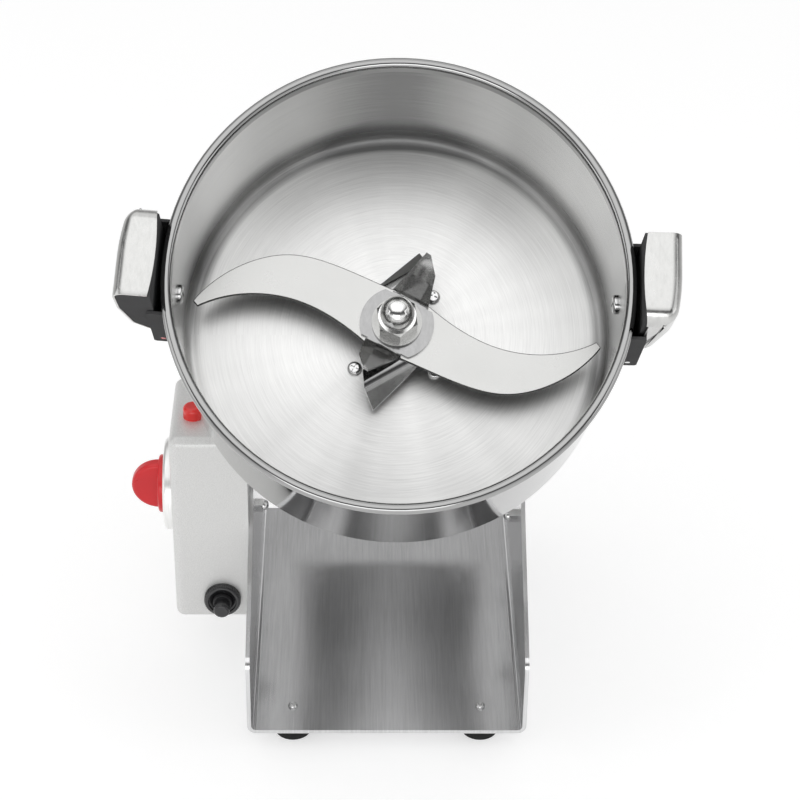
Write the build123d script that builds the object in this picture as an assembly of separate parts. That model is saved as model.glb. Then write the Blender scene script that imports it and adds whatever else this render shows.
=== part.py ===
from build123d import *
import os
from math import atan2, cos, degrees, hypot, radians, sin, sqrt, tan

os.makedirs("parts", exist_ok=True)

# Electric grain mill: a grinding bowl with its motor below it, hung between the two uprights of a
# sheet stand so that it can be tipped forward to empty it. Millimetres, +Z up, the front looks
# along -Y, and the origin is on the floor under the middle of the whole mill.

# ---- fits and clearances
run_fit = 0.05              # radial clearance of a part that turns or slides in a bore
hole_fit = 0.2              # radial clearance of a fixed part in its hole
part_gap = 0.3              # between faces that move past each other
seat_gap = 0.1              # between parts that are set into each other
clear_gap = 0.9             # round parts that need room to be fitted

# ---- shares of a size
head_round = 0.7            # of a screw head's height
recess_reach = 1.2          # of a screw head's radius
recess_width = 0.28
socket_width = 0.75
race_wall = 0.3             # of the space between a bearing's bore and its outside
cage_depth = 0.1            # of its width
dome_round = 0.95           # of a dome's radius

# ---- stand
stand_width = 165.0         # over both uprights
stand_back = 13.0           # middle of the stand, behind the middle of the whole mill
stand_depth = 222.0
stand_sheet = 2.5
stand_bend = 3.0            # inside radius of the two long bends
edge_rise = 51.0            # straight front and back edges, up from the underside
edge_round = 10.0
edge_slope = 31.0           # degrees that the shoulders rise towards the post
shoulder_round = 60.0
post_half_width = 24.0      # also the round of the post's head
pivot_rise = 176.0          # pivot above the underside of the sheet
pivot_y = 16.3

foot_height = 14.5
foot_top_r = 11.3
foot_base_r = 11.0
foot_recess_r = 5.0
foot_recess_depth = 4.0
front_foot_side = 26.5      # in from the side
front_foot_inset = 21.6     # in from the front edge
rear_foot_side = 40.5
rear_foot_inset = 19.0      # in from the back edge
foot_screw_r = 1.5
foot_screw_head_r = 2.8
foot_screw_head = 1.8
foot_screw_length = 9.0

side_bolt_r = 2.5
side_bolt_af = 8.0
side_bolt_head = 3.5
side_nut_hex = 4.0
side_nut_dome_r = 3.6
side_bolt_places = {-1: (-5.9, -97.5), 1: (-2.5, -107.5)}     # on each side, from the pivot

# ---- tilt pivot
rest_tilt = 42.14           # degrees forward of upright
body_offset = 4.0           # bowl axis to the right of the middle of the stand
pivot_bolt_r = 5.0
pivot_bolt_af = 17.0
pivot_bolt_head = 6.4
pivot_bolt_grip = 6.0       # past the inside of the housing
bush_wall = 2.0
bush_flange_r = 10.0
bush_flange = 1.5
boss_r = 14.0

# ---- bowl, along its own axis from the pivot
bowl_inner_r = 119.2
bowl_sheet = 1.0
bowl_corner = 5.0
floor_above_pivot = 68.4
bowl_depth = 104.6          # inner floor to the middle of the rim curl
rim_curl_r = 2.9
rim_curl_turn = 295.0       # degrees that the rim is rolled
floor_hole_r = 19.1
floor_screw_circle = 30.75
floor_screw_r = 2.5
floor_screw_length = 7.0
floor_screw_head_r = 4.1
floor_screw_head = 2.6
floor_screw_angles = (47.0, 135.0, 220.0, 315.0)
floor_screw_turn = 20.0     # of the cross recesses

# ---- motor
corner_angles = (45.0, 135.0, 225.0, 315.0)
boss_least = 9.7            # boss length on the side nearer to its upright
housing_wall = 1.2
housing_length = 219.0
cover_thick = 2.0
cover_ring = 4.0
cover_ring_height = 8.0
cover_vents = 12
vent_width = 4.0
cover_vent_inner = 30.0
cover_vent_outer = 55.0
cover_screw_r = 2.0
cover_screw_length = 5.0
cover_screw_head_r = 3.8
cover_screw_head = 2.4
cover_screw_rise = 4.0      # above the lower end of the housing
grommet_r = 6.0
grommet_lip = 2.0
grommet_hole_r = 3.0
grommet_angle = 145.0       # degrees round the bowl axis
grommet_rise = 121.6        # above the lower end of the housing

flange_thick = 7.0
spigot_rise = 0.2           # spigot above the inner floor
hub_r = 28.0
hub_drop = 20.4             # below the flange
upper_bearing_r = 20.0
upper_bearing_width = 12.0
seal_r = 15.0
seal_width = 7.0
seal_depth = 2.4            # seal below the inner floor
hub_bore_r = 12.0
post_circle = 49.0
post_r = 6.0
post_length = 74.4
motor_play = 22.6           # from the lower bearing to the lower cover
stator_r = 55.0
stator_bore_r = 31.0
window_near, window_far = 33.0, 43.0
window_low, window_high = 17.5, 28.0
coil_gap = 0.3
coil_round = 1.2
coil_overhang = 9.0
leg_length = 44.0
bracket_thick = 6.0
bracket_hub_wall = 4.0
lower_bearing_r = 16.0
lower_bearing_width = 10.0
through_bolt_r = 2.5
through_bolt_head_r = 4.5
through_bolt_head = 4.0
through_bolt_grip = 15.0    # thread in each post
brush_width = 6.0
brush_height = 10.0
brush_length = 18.0
brush_drop = 20.0           # below the stator
holder_wall = 1.5
holder_end = 46.0

# ---- rotor
shaft_r = 8.5               # through the upper bearing and the seal
shaft_mid_r = 8.0
shaft_low_r = 6.0
shaft_tip_r = 7.0
collar_r = 11.0
collar_thick = 1.8
collar_play = 0.2           # below the upper bearing
shaft_tail = 1.0            # past the lower bearing
shaft_grip = 18.0           # of the threaded end in the nut
armature_r = 30.2
armature_slots = 12
slot_width = 2.5
slot_depth = 6.0
winding_r = 27.0
winding_length = 10.0
winding_round = 3.0
commutator_r = 16.0
commutator_length = 17.0
commutator_gap = 1.0
fan_r = 42.0
fan_height = 14.0
fan_hub_r = 14.0
fan_plate = 2.0
fan_vanes = 12
fan_vane = 1.6
spacer_r = 17.0
spacer_gap = 0.6            # above the spigot
spacer_height = 17.8
blade_sheet = 2.0
long_blade_sheet = 2.5
washer_r = 14.0
washer_thick = 2.5
nut_af = 21.0
nut_hex = 12.0
nut_dome_r = 9.6
nut_height = 27.0
nut_wall = 3.0
nut_turn = 38.0             # degrees, as it is tightened
cross_hub_r = 20.75
upper_bend = 48.0           # degrees that the wings fold up
upper_round = 1.5           # inside radius of the folds
lower_bend = 45.0           # degrees down
lower_round = 8.0

# ---- latches, each built to the right of the bowl: out from the axis, and up from the rim curl
latch_gap = 2.3             # outside the rim
latch_width = 49.0
latch_sheet = 1.5
latch_corner = 4.0
latch_side_round = 2.4
latch_top = 18.0
latch_reach = 20.0
latch_knee = (19.4, -8.0)
latch_slope = (13.6, -34.0)
latch_waist = (3.7, -45.0)
latch_tail = (1.7, -59.0)
latch_waist_round = 6.0
pin_inset = 1.7             # inside the lever's inner face
pin_drop = 54.0
pin_r = 1.5
eye_r = 2.6
eye_width = 9.0
spring_gap = 0.1
spring_wire = 0.6
spring_leg = 10.4
bracket_back = 2.2
cheek = 1.6
cheek_round = 2.0
cheek_reach = 3.7           # outside the lever's inner face
latch_bracket_top = -8.0
latch_bracket_low = -60.0
wall_screw_drop = 45.0
wall_screw_turn = 1.7       # degrees off the middle of the latch
wall_screw_r = 2.5
wall_screw_head_r = 5.3
wall_screw_head = 2.6
wall_screw_length = 2.6
latch_turns = {"right": -1.3, "left": 175.5}      # degrees round the bowl axis

# ---- control box on the left upright
box_width = 45.5
box_front = 36.8            # in front of the middle of the stand
box_depth = 70.0
box_rise = 27.5             # above the underside of the stand
box_height = 130.9
box_wall = 1.5
box_round = 5.0
box_screw_r = 2.0
box_screw_head_r = 3.8
box_screw_head = 2.4
box_screw_grip = 5.0
box_nut_r = 4.0
box_screw_places = ((12.8, 108.0), (58.8, 108.0), (58.8, 62.0))     # back, up
tab_width = 14.0
tab_length = 12.0
tab_screw_r = 1.5
tab_screw_head_r = 2.8
tab_screw_head = 1.8
tab_screw_length = 5.0
timer_back = 32.2           # axis from the front of the box
timer_rise = 77.9           # axis above the bottom of the box
escutcheon_r = 27.8
escutcheon_thick = 5.5
escutcheon_round = 2.2
timer_size = 44.0
timer_depth = 30.0
neck_r = 5.0
spindle_r = 3.0
spindle_length = 14.0
knob_r = 17.5
knob_plate = 3.5
knob_plate_round = 1.4
knob_wing_r = 16.0
knob_wing_rise = 16.5
knob_wing_thick = 8.0
knob_wing_round = 2.4
lamp_out = 32.1             # axis from the upright
lamp_back = 26.0            # axis from the front of the box
lens_r = 6.0
lens_height = 7.6
lens_round = 2.5
lamp_neck_r = 4.0
lamp_neck_rise = 3.0
lamp_collar_r = 6.5
lamp_collar = 3.0
lamp_length = 22.0
breaker_out = 16.9
breaker_rise = 15.9
breaker_nut_r = 11.1
breaker_nut_thick = 5.0
breaker_dish_r = 8.4
breaker_dish = 1.2
breaker_neck_r = 5.65
breaker_neck = 1.0          # in front of the nut
breaker_size = 16.0
breaker_depth = 26.0
plunger_r = 4.9
plunger_round = 1.7
plunger_reach = 8.5         # in front of the neck
plunger_travel = 3.0
plunger_tail = 10.0
gland_out = 22.0
gland_rise = 21.5
gland_af = 18.0
gland_hex = 6.0
gland_dome_r = 8.0
gland_dome = 9.0
gland_round = 3.2
gland_bore_r = 3.5
gland_neck_r = 6.0
gland_nut_r = 9.0
gland_nut = 3.0

# ---- places that follow from the sizes
sheet_low = foot_height
sheet_top = sheet_low + stand_sheet
front_y, back_y = -stand_depth / 2, stand_depth / 2
outer_x = stand_width / 2
inner_x = outer_x - stand_sheet
pivot_z = sheet_low + pivot_rise
stand_place = Pos(0, stand_back, 0)
rest_place = Pos(body_offset, pivot_y, pivot_z) * Rot(rest_tilt, 0, 0)

bowl_outer_r = bowl_inner_r + bowl_sheet
floor_top = floor_above_pivot
floor_low = floor_top - bowl_sheet
rim_w = floor_top + bowl_depth
rim_outer_r = bowl_inner_r + 2 * rim_curl_r

housing_r = inner_x - bush_flange - part_gap - body_offset - boss_least
housing_inner_r = housing_r - housing_wall
housing_low = floor_low - housing_length
pivot_bolt_end = housing_inner_r - pivot_bolt_grip
grommet_w = housing_low + grommet_rise + grommet_r
flange_low = floor_low - flange_thick
hub_low = flange_low - hub_drop
stator_top = flange_low - post_length
stack_length = (housing_length - flange_thick - post_length - leg_length - lower_bearing_width
                - motor_play)
stator_low = stator_top - stack_length
bracket_top = stator_low - leg_length
bearing_low = bracket_top - lower_bearing_width

collar_top = hub_low - collar_play
fan_top = collar_top - collar_thick
spacer_low = floor_top + spigot_rise + spacer_gap
lower_cross_low = spacer_low + spacer_height
long_blade_low = lower_cross_low + blade_sheet
upper_cross_low = long_blade_low + long_blade_sheet
washer_low = upper_cross_low + blade_sheet
nut_low = washer_low + washer_thick
brush_w = stator_low - brush_drop

latch_inner_r = rim_outer_r + latch_gap
plate_face_r = bowl_outer_r + bracket_back
pin_at = (latch_inner_r - pin_inset, rim_w - pin_drop)

box_right = -outer_x
box_left = box_right - box_width
box_front_y = -box_front
box_back_y = box_front_y + box_depth
box_low = sheet_low + box_rise
box_top = box_low + box_height
timer_at = (box_front_y + timer_back, box_low + timer_rise)
lamp_at = (box_right - lamp_out, box_front_y + lamp_back)
breaker_at = (box_right - breaker_out, box_low + breaker_rise)
gland_at = (box_right - gland_out, box_low + gland_rise)


# ---- shapes used again and again
def rod(radius, low, high, x=0.0, y=0.0):
    base = (Align.CENTER, Align.CENTER, Align.MIN)
    return Pos(x, y, min(low, high)) * Cylinder(radius, abs(high - low), align=base)


def rod_x(radius, start, end, y=0.0, z=0.0):
    return Pos(0, y, z) * Rot(0, 90, 0) * rod(radius, start, end)


def rod_y(radius, start, end, x=0.0, z=0.0):
    return Pos(x, 0, z) * Rot(-90, 0, 0) * rod(radius, start, end)


def ring(outer, inner, low, high):
    return rod(outer, low, high) - rod(inner, low, high)


def block(x0, x1, y0, y1, z0, z1):
    corner = Pos(min(x0, x1), min(y0, y1), min(z0, z1))
    return corner * Box(abs(x1 - x0), abs(y1 - y0), abs(z1 - z0), align=(Align.MIN,) * 3)


def around(angle, radius=0.0, height=0.0):
    return Rot(0, 0, angle) * Pos(radius, 0, height)


def hexagon(across, low, high):
    return Pos(0, 0, low) * extrude(RegularPolygon(across / 2, 6, major_radius=False), high - low)


def rounded_face(points, rounds):
    # a closed outline with some of its corners rounded: {corner number: radius}
    face = make_face(Polyline(*points, close=True))
    for number, radius in rounds.items():
        face = fillet(face.vertices().sort_by_distance((*points[number], 0))[0], radius)
    return face


def pan_screw(shank, length, head, head_height):
    # head above Z = 0 with a cross recess, shank below it
    cap = rod(head, 0, head_height)
    cap = fillet(cap.edges().sort_by(Axis.Z)[-1], head_height * head_round)
    slot = head * recess_width
    for angle in (0, 90):
        cap -= Rot(0, 0, angle) * Pos(0, 0, head_height) * Box(head * recess_reach, slot, head_height)
    return cap + rod(shank, -length, 0)


def button_screw(shank, length, head, head_height):
    # domed head above Z = 0 with a hexagon socket
    cap = rod(head, 0, head_height)
    cap = fillet(cap.edges().sort_by(Axis.Z)[-1], head_height * head_round)
    return cap - hexagon(head * socket_width, head_height / 2, head_height) + rod(shank, -length, 0)


def bearing(inner, outer, low, width):
    # two rings and the cage between them
    wall = (outer - inner) * race_wall
    recess = width * cage_depth
    return Compound(children=[
        ring(outer, outer - wall, low, low + width),
        ring(inner + wall, inner, low, low + width),
        ring(outer - wall, inner + wall, low + recess, low + width - recess)])


# ---- stand
def upright_outline():
    slope = tan(radians(edge_slope))
    edge_top = sheet_low + edge_rise
    post_front, post_back = pivot_y - post_half_width, pivot_y + post_half_width
    front_corner = (post_front, edge_top + (post_front - front_y) * slope)
    back_corner = (post_back, edge_top + (back_y - post_back) * slope)
    outline = rounded_face(
        [(front_y, sheet_low), (front_y, edge_top), front_corner, (post_front, pivot_z),
         (post_back, pivot_z), back_corner, (back_y, edge_top), (back_y, sheet_low)],
        {1: edge_round, 2: shoulder_round, 5: shoulder_round, 6: edge_round})
    return outline + Pos(pivot_y, pivot_z) * Circle(post_half_width)


def foot_places():
    front, rear = front_y + front_foot_inset, back_y - rear_foot_inset
    front_foot_x, rear_foot_x = outer_x - front_foot_side, outer_x - rear_foot_side
    return {"foot_front_left": (-front_foot_x, front), "foot_front_right": (front_foot_x, front),
            "foot_rear_left": (-rear_foot_x, rear), "foot_rear_right": (rear_foot_x, rear)}


def side_bolt_at(side):
    back, up = side_bolt_places[side]
    return pivot_y + back, pivot_z + up


def box_holes():
    return [(box_front_y + back, box_low + up) for back, up in box_screw_places]


def stand_frame():
    height = pivot_z + post_half_width - sheet_low
    outer = block(-outer_x, outer_x, front_y, back_y, sheet_low, sheet_low + height)
    inner = block(-inner_x, inner_x, front_y, back_y, sheet_top, sheet_top + height)
    outer = fillet(outer.edges().filter_by(Axis.Y).group_by(Axis.Z)[0], stand_bend + stand_sheet)
    inner = fillet(inner.edges().filter_by(Axis.Y).group_by(Axis.Z)[0], stand_bend)
    frame = (outer - inner) & extrude(Plane.YZ * upright_outline(), outer_x, both=True)
    frame -= rod_x(pivot_bolt_r + run_fit + bush_wall, -outer_x, outer_x, pivot_y, pivot_z)
    for side in (-1, 1):
        frame -= rod_x(side_bolt_r + hole_fit, side * inner_x, side * outer_x, *side_bolt_at(side))
    for x, y in foot_places().values():
        frame -= rod(foot_screw_r + hole_fit, sheet_low, sheet_top, x, y)
    for y, z in box_holes():
        frame -= rod_x(box_screw_r + hole_fit, -outer_x, -inner_x, y, z)
    return frame


def foot(x, y):
    profile = Polyline((0, 0), (foot_base_r, 0), (foot_top_r, foot_height), (0, foot_height),
                       close=True)
    body = revolve(Plane.XZ * make_face(profile), Axis.Z)
    body -= rod(foot_recess_r, 0, foot_recess_depth)
    body -= rod(foot_screw_r, sheet_top - foot_screw_length, foot_height)
    return Pos(x, y, 0) * body


def foot_screws():
    screw = button_screw(foot_screw_r, foot_screw_length, foot_screw_head_r, foot_screw_head)
    return Compound(children=[Pos(x, y, sheet_top) * screw for x, y in foot_places().values()])


def pivot_bushes():
    bore = pivot_bolt_r + run_fit
    sides = []
    for side in (-1, 1):
        bush = rod_x(bore + bush_wall, side * inner_x, side * outer_x)
        bush += rod_x(bush_flange_r, side * (inner_x - bush_flange), side * inner_x)
        bush -= rod_x(bore, side * (inner_x - bush_flange), side * outer_x)
        sides.append(Pos(0, pivot_y, pivot_z) * bush)
    return Compound(children=sides)


def side_bolts():
    # the left one also holds the back of the control box
    sides = []
    for side, under_head in ((-1, outer_x + box_wall), (1, outer_x)):
        bolt = hexagon(side_bolt_af, under_head, under_head + side_bolt_head)
        bolt += rod(side_bolt_r, inner_x - side_nut_hex, under_head)
        sides.append(Pos(0, *side_bolt_at(side)) * Rot(0, side * 90, 0) * bolt)
    return Compound(children=sides)


def side_nuts():
    nut = hexagon(side_bolt_af, 0, side_nut_hex)
    dome = rod(side_nut_dome_r, 0, side_nut_hex + side_nut_dome_r)
    nut += fillet(dome.edges().sort_by(Axis.Z)[-1], side_nut_dome_r * dome_round)
    nut -= rod(side_bolt_r, 0, side_nut_hex)
    return Compound(children=[Pos(side * inner_x, *side_bolt_at(side)) * Rot(0, -side * 90, 0) * nut
                              for side in (-1, 1)])


# ---- control box
def control_box_shell():
    outer = block(box_left, box_right, box_front_y, box_back_y, box_low, box_top)
    inner = block(box_left + box_wall, box_right, box_front_y + box_wall, box_back_y - box_wall,
                  box_low + box_wall, box_top - box_wall)
    open_side = outer.faces().sort_by(Axis.X)[-1].edges()
    outer = fillet(outer.edges() - open_side, box_round)
    open_side = inner.faces().sort_by(Axis.X)[-1].edges()
    inner = fillet(inner.edges() - open_side, box_round - box_wall)
    shell = outer - inner
    shell -= rod_x(neck_r, box_left, box_left + box_wall, *timer_at)
    shell -= rod(lamp_neck_r + hole_fit, box_top - box_wall, box_top, *lamp_at)
    shell -= rod_y(breaker_neck_r + hole_fit, box_front_y, box_front_y + box_wall, *breaker_at)
    shell -= rod_y(gland_neck_r + hole_fit, box_back_y - box_wall, box_back_y, *gland_at)
    for place in tab_screw_places():
        shell -= place * rod(tab_screw_r + hole_fit, -box_wall, 0)
    return shell


def tab_screw_places():
    # outer end of each cover screw: under the box, and behind it
    out = box_right - tab_length / 2
    return [Pos(out, (box_front_y + box_back_y) / 2, box_low) * Rot(180, 0, 0),
            Pos(out, box_back_y, (box_low + box_top) / 2) * Rot(-90, 0, 0)]


def control_box_back():
    edge = box_wall + seat_gap
    plate = block(box_right - box_wall, box_right, box_front_y + edge, box_back_y - edge,
                  box_low + edge, box_top - edge)
    plate = fillet(plate.edges().filter_by(Axis.X), box_round - box_wall - seat_gap)
    middle_y, middle_z = (box_front_y + box_back_y) / 2, (box_low + box_top) / 2
    half = tab_width / 2
    plate += block(box_right - tab_length, box_right, middle_y - half, middle_y + half,
                   box_low + edge, box_low + edge + box_wall)
    plate += block(box_right - tab_length, box_right, box_back_y - edge - box_wall,
                   box_back_y - edge, middle_z - half, middle_z + half)
    for y, z in box_holes():
        plate += rod_x(box_nut_r, box_right - box_wall - box_screw_grip, box_right, y, z)
        plate -= rod_x(box_screw_r, box_right - box_wall - box_screw_grip, box_right, y, z)
    plate -= rod_x(side_bolt_r + hole_fit, box_right - box_wall, box_right, *side_bolt_at(-1))
    for place in tab_screw_places():
        plate -= place * rod(tab_screw_r, -edge - box_wall, -edge)
    return plate


def control_box_screws():
    # through the upright into the press nuts of the back plate, and through the cover into its tabs
    length = stand_sheet + box_wall + box_screw_grip
    inside = pan_screw(box_screw_r, length, box_screw_head_r, box_screw_head)
    outside = button_screw(tab_screw_r, tab_screw_length, tab_screw_head_r, tab_screw_head)
    return Compound(children=[Pos(-inner_x, y, z) * Rot(0, 90, 0) * inside for y, z in box_holes()]
                    + [place * outside for place in tab_screw_places()])


def timer_escutcheon():
    disc = rod(escutcheon_r, 0, escutcheon_thick)
    disc = fillet(disc.edges().sort_by(Axis.Z)[-1], escutcheon_round)
    disc -= rod(neck_r, 0, escutcheon_thick)
    return Pos(box_left, *timer_at) * Rot(0, -90, 0) * disc


def timer_switch():
    y, z = timer_at
    half = timer_size / 2
    inside = box_left + box_wall
    body = block(inside, inside + timer_depth, y - half, y + half, z - half, z + half)
    body += rod_x(neck_r, box_left - escutcheon_thick, inside, y, z)
    depth = box_left - escutcheon_thick + spindle_length + part_gap
    return body - rod_x(spindle_r + run_fit, box_left - escutcheon_thick, depth, y, z)


def timer_knob():
    # plate and spindle round the local Z axis, with a half-round grip standing on the plate
    knob = rod(knob_r, 0, knob_plate)
    knob = fillet(knob.edges().sort_by(Axis.Z)[-1], knob_plate_round)
    wing = Plane.XZ * (Ellipse(knob_wing_r, knob_wing_rise)
                       & Pos(0, knob_wing_rise) * Rectangle(2 * knob_wing_r, 2 * knob_wing_rise))
    wing = extrude(wing, knob_wing_thick / 2, both=True)
    wing = fillet(wing.edges().filter_by(GeomType.LINE, reverse=True), knob_wing_round)
    knob += Pos(0, 0, knob_plate) * wing
    knob += rod(spindle_r, -spindle_length + part_gap, 0)
    out = box_left - escutcheon_thick - part_gap
    return Pos(out, *timer_at) * Rot(0, -90, 0) * knob


def lamp_body():
    under = box_top - box_wall
    body = rod(lamp_neck_r, under - lamp_collar, box_top + lamp_neck_rise, *lamp_at)
    body += rod(lamp_collar_r, under - lamp_collar, under, *lamp_at)
    return body + rod(lamp_neck_r + box_wall, under - lamp_length, under - lamp_collar, *lamp_at)


def lamp_lens():
    lens = rod(lens_r, 0, lens_height)
    lens = fillet(lens.edges().sort_by(Axis.Z)[-1], lens_round)
    lens -= rod(lamp_neck_r, 0, lamp_neck_rise)
    return Pos(*lamp_at, box_top) * lens


def breaker_body():
    x, z = breaker_at
    half = breaker_size / 2
    inside = box_front_y + box_wall
    body = block(x - half, x + half, inside, inside + breaker_depth, z - half, z + half)
    mouth = box_front_y - breaker_nut_thick - breaker_neck
    body += rod_y(breaker_neck_r, mouth, inside, x, z)
    return body - rod_y(plunger_r + run_fit, mouth, plunger_end() + plunger_travel + part_gap, x, z)


def plunger_end():
    return box_front_y + plunger_tail


def breaker_nut():
    x, z = breaker_at
    nut = rod_y(breaker_nut_r, box_front_y - breaker_nut_thick, box_front_y, x, z)
    nut -= rod_y(breaker_dish_r, box_front_y - breaker_nut_thick,
                 box_front_y - breaker_nut_thick + breaker_dish, x, z)
    return nut - rod_y(breaker_neck_r, box_front_y - breaker_nut_thick, box_front_y, x, z)


def breaker_plunger():
    x, z = breaker_at
    tip = box_front_y - breaker_nut_thick - breaker_neck - plunger_reach
    pin = rod_y(plunger_r, tip, plunger_end(), x, z)
    return fillet(pin.edges().sort_by(Axis.Y)[0], plunger_round)


def cable_gland():
    x, z = gland_at
    gland = hexagon(gland_af, 0, gland_hex)
    dome = rod(gland_dome_r, gland_hex, gland_hex + gland_dome)
    gland += fillet(dome.edges().sort_by(Axis.Z)[-1], gland_round)
    gland += rod(gland_neck_r, -box_wall - gland_nut, 0)
    gland += rod(gland_nut_r, -box_wall - gland_nut, -box_wall)
    gland -= rod(gland_bore_r, -box_wall - gland_nut, gland_hex + gland_dome)
    return Pos(x, box_back_y, z) * Rot(-90, 0, 0) * gland


# ---- bowl and what hangs under it, upright with the pivot at the origin
def bowl():
    wall = Pos((bowl_inner_r + bowl_outer_r) / 2, (floor_low + bowl_sheet + bowl_corner + rim_w) / 2)
    profile = wall * Rectangle(bowl_sheet, rim_w - floor_top - bowl_corner)
    bend_r = bowl_inner_r - bowl_corner
    bend = Circle(bowl_corner + bowl_sheet) - Circle(bowl_corner)
    bend &= Rectangle(rim_outer_r, rim_outer_r, align=(Align.MIN, Align.MAX))
    profile += Pos(bend_r, floor_top + bowl_corner) * bend
    curl_at = Pos(bowl_inner_r + rim_curl_r, rim_w)
    mid = rim_curl_r - bowl_sheet / 2
    line = CenterArc((0, 0), mid, 180 - rim_curl_turn, rim_curl_turn)
    profile += curl_at * trace(line, bowl_sheet)
    shell = revolve(Plane.XZ * profile, Axis.Z)
    for turn in latch_turns.values():
        hole = rod_x(wall_screw_r + hole_fit, bowl_inner_r - bowl_sheet, bowl_outer_r + bowl_sheet,
                     0, rim_w - wall_screw_drop)
        shell -= Rot(0, 0, turn + wall_screw_turn) * hole
    return shell


def bowl_floor():
    # round plate, welded flush into the bend of the wall
    plate = ring(bowl_inner_r - bowl_corner, floor_hole_r, floor_low, floor_top)
    for angle in floor_screw_angles:
        plate -= around(angle, floor_screw_circle) * rod(floor_screw_r + hole_fit, floor_low, floor_top)
    return plate


def bearing_flange():
    flange = rod(housing_inner_r - 2 * hole_fit, flange_low, floor_low)
    flange += rod(hub_r, hub_low, flange_low)
    flange += rod(floor_hole_r - seat_gap, floor_low, floor_top + spigot_rise)
    for angle in corner_angles:
        flange += around(angle, post_circle) * rod(post_r, stator_top, flange_low)
    flange -= rod(upper_bearing_r, hub_low, hub_low + upper_bearing_width)
    flange -= rod(hub_bore_r, hub_low, floor_top)
    seal_top = floor_top - seal_depth
    flange -= rod(seal_r, seal_top - seal_width, floor_top + spigot_rise)
    for angle in floor_screw_angles:
        flange -= around(angle, floor_screw_circle) * rod(
            floor_screw_r, floor_top - floor_screw_length, floor_low)
    for angle in corner_angles:
        flange -= around(angle, post_circle) * rod(
            through_bolt_r, stator_top, stator_top + through_bolt_grip)
    return flange


def shaft_seal():
    top = floor_top - seal_depth
    return ring(seal_r, shaft_r + run_fit, top - seal_width, top)


def floor_screws():
    screw = pan_screw(floor_screw_r, floor_screw_length, floor_screw_head_r, floor_screw_head)
    turn = Rot(0, 0, floor_screw_turn)
    return Compound(children=[around(angle, floor_screw_circle, floor_top) * turn * screw
                              for angle in floor_screw_angles])


def motor_housing():
    tube = ring(housing_r, housing_inner_r, housing_low, floor_low)
    tube -= rod_x(pivot_bolt_r, -housing_r, housing_r)
    for angle in corner_angles:
        tube -= Rot(0, 0, angle) * rod_x(cover_screw_r + hole_fit, housing_inner_r - housing_wall,
                                         housing_r, 0, housing_low + cover_screw_rise)
    hole = rod_x(grommet_r, housing_inner_r - housing_wall, housing_r, 0, grommet_w)
    return tube - Rot(0, 0, grommet_angle) * hole


def housing_grommet():
    inner, outer = housing_inner_r - grommet_lip, housing_r + grommet_lip
    plug = rod_x(grommet_r + grommet_lip, inner, outer, 0, grommet_w)
    plug -= ring(housing_r, housing_inner_r, -housing_r, housing_r)
    plug += rod_x(grommet_r, inner, outer, 0, grommet_w)
    plug -= rod_x(grommet_hole_r, inner, outer, 0, grommet_w)
    return Rot(0, 0, grommet_angle) * plug


def housing_cover():
    low = housing_low - cover_thick
    outer = housing_inner_r - hole_fit
    cover = rod(housing_r, low, housing_low)
    cover += ring(outer, outer - cover_ring, housing_low, housing_low + cover_ring_height)
    for n in range(cover_vents):
        slot = block(cover_vent_inner, cover_vent_outer, -vent_width / 2, vent_width / 2,
                     low, housing_low)
        cover -= Rot(0, 0, 360.0 / cover_vents * n) * slot
    for angle in corner_angles:
        cover -= Rot(0, 0, angle) * rod_x(cover_screw_r, housing_r - cover_screw_length, outer, 0,
                                          housing_low + cover_screw_rise)
    return cover


def cover_screws():
    # the flat under each head touches the round of the housing at the head's middle
    screw = pan_screw(cover_screw_r, cover_screw_length, cover_screw_head_r, cover_screw_head)
    return Compound(children=[
        Rot(0, 0, angle) * Pos(housing_r, 0, housing_low + cover_screw_rise) * Rot(0, 90, 0) * screw
        for angle in corner_angles])


def trunnion_bosses():
    sides = []
    for side in (-1, 1):
        end = inner_x - bush_flange - part_gap - side * body_offset
        boss = rod_x(boss_r, 0, side * end) - rod(housing_r, -boss_r, boss_r)
        sides.append(boss - rod_x(pivot_bolt_r, 0, side * end))
    return Compound(children=sides)


def pivot_bolts():
    sides = []
    for side in (-1, 1):
        under_head = outer_x + part_gap - side * body_offset
        bolt = hexagon(pivot_bolt_af, under_head, under_head + pivot_bolt_head)
        bolt += rod(pivot_bolt_r, pivot_bolt_end, under_head)
        sides.append(Rot(0, side * 90, 0) * bolt)
    return Compound(children=sides)


# ---- motor
def stator_core():
    core = ring(stator_r, stator_bore_r, stator_low, stator_top)
    for x in (-1, 1):
        for y in (-1, 1):
            core -= block(x * window_near, x * window_far, y * window_low, y * window_high,
                          stator_low, stator_top)
    for angle in corner_angles:
        core -= around(angle, post_circle) * rod(through_bolt_r + seat_gap, stator_low, stator_top)
    return core


def field_coils():
    # one flat ring round each pole, through two windows of the core
    near, far = window_near + clear_gap, window_far - clear_gap
    outer, inner = window_high - coil_gap, window_low + coil_gap
    low, high = stator_low - coil_overhang, stator_top + coil_overhang
    coil = block(near, far, -outer, outer, low, high)
    coil -= block(near, far, -inner, inner, stator_low - coil_gap, stator_top + coil_gap)
    coil = fillet(coil.edges().filter_by(Axis.X), coil_round)
    return Compound(children=[coil, Rot(0, 0, 180) * coil])


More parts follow.
